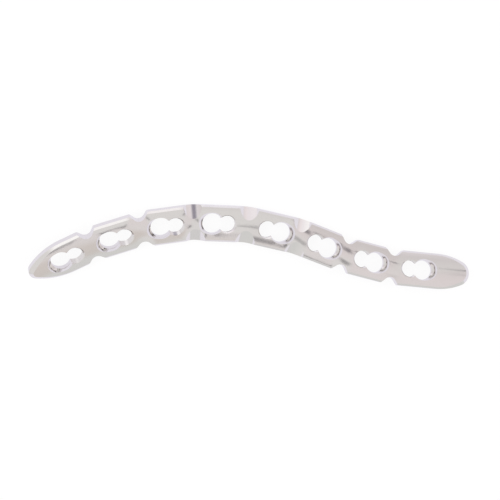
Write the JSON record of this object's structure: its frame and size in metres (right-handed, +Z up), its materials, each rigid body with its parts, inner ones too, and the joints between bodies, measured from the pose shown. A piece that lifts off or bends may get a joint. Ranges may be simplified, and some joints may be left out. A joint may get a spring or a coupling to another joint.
{
  "type": "orthopedic bone plate",
  "caption": "S-shaped locking bone plate for the collarbone: a crowned steel strip with combination screw holes, narrowed necks between them and tapered round ends.",
  "frame": {"origin": "middle of the plate's box in plan, on the surface it lies on", "axes": "+X along the plate from its pointed end to its broad end, +Y across it towards the outer side of the long bend, +Z up out of the visible face"},
  "size_m": [0.1216, 0.0232, 0.0055],
  "materials": {
    "steel": "electropolished"
  },
  "bodies": {
    "root": {"plate": "steel"}
  },
  "joints": []
}
